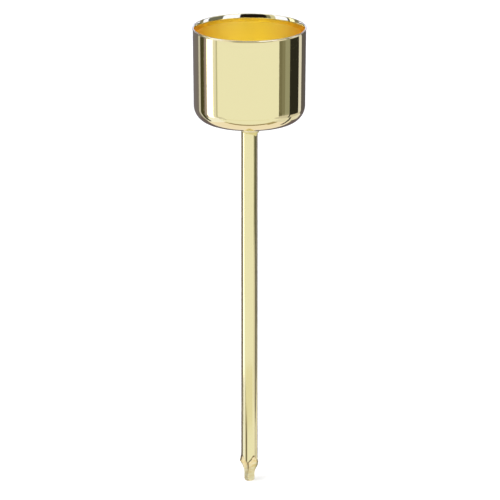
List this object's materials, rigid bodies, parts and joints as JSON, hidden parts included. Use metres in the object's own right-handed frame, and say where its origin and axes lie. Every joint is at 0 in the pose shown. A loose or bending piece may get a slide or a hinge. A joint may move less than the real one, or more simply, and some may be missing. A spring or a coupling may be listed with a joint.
{
  "type": "taper candle holder",
  "caption": "Small drawn metal cup for a taper candle, welded on a straight wire spike with a pinched point, to push into floral foam, a wreath or a planter.",
  "frame": {"origin": "end of the spike's point, on the axis of the cup and the spike", "axes": "+Z along the axis, from the point up to the cup's mouth; -Y faces the picture's camera and +X is to its right"},
  "size_m": [0.0242, 0.0242, 0.0997],
  "materials": {
    "cup_plating": "bright brass plating, mirror polished outside and as drawn inside",
    "spike_plating": "bright brass plating over drawn wire, with sheared die faces at the point",
    "weld_plating": "bright brass plating over an unground weld"
  },
  "bodies": {
    "root": {"candle_cup": "cup_plating", "spike_stem": "spike_plating", "weld_fillet": "weld_plating"}
  },
  "joints": []
}
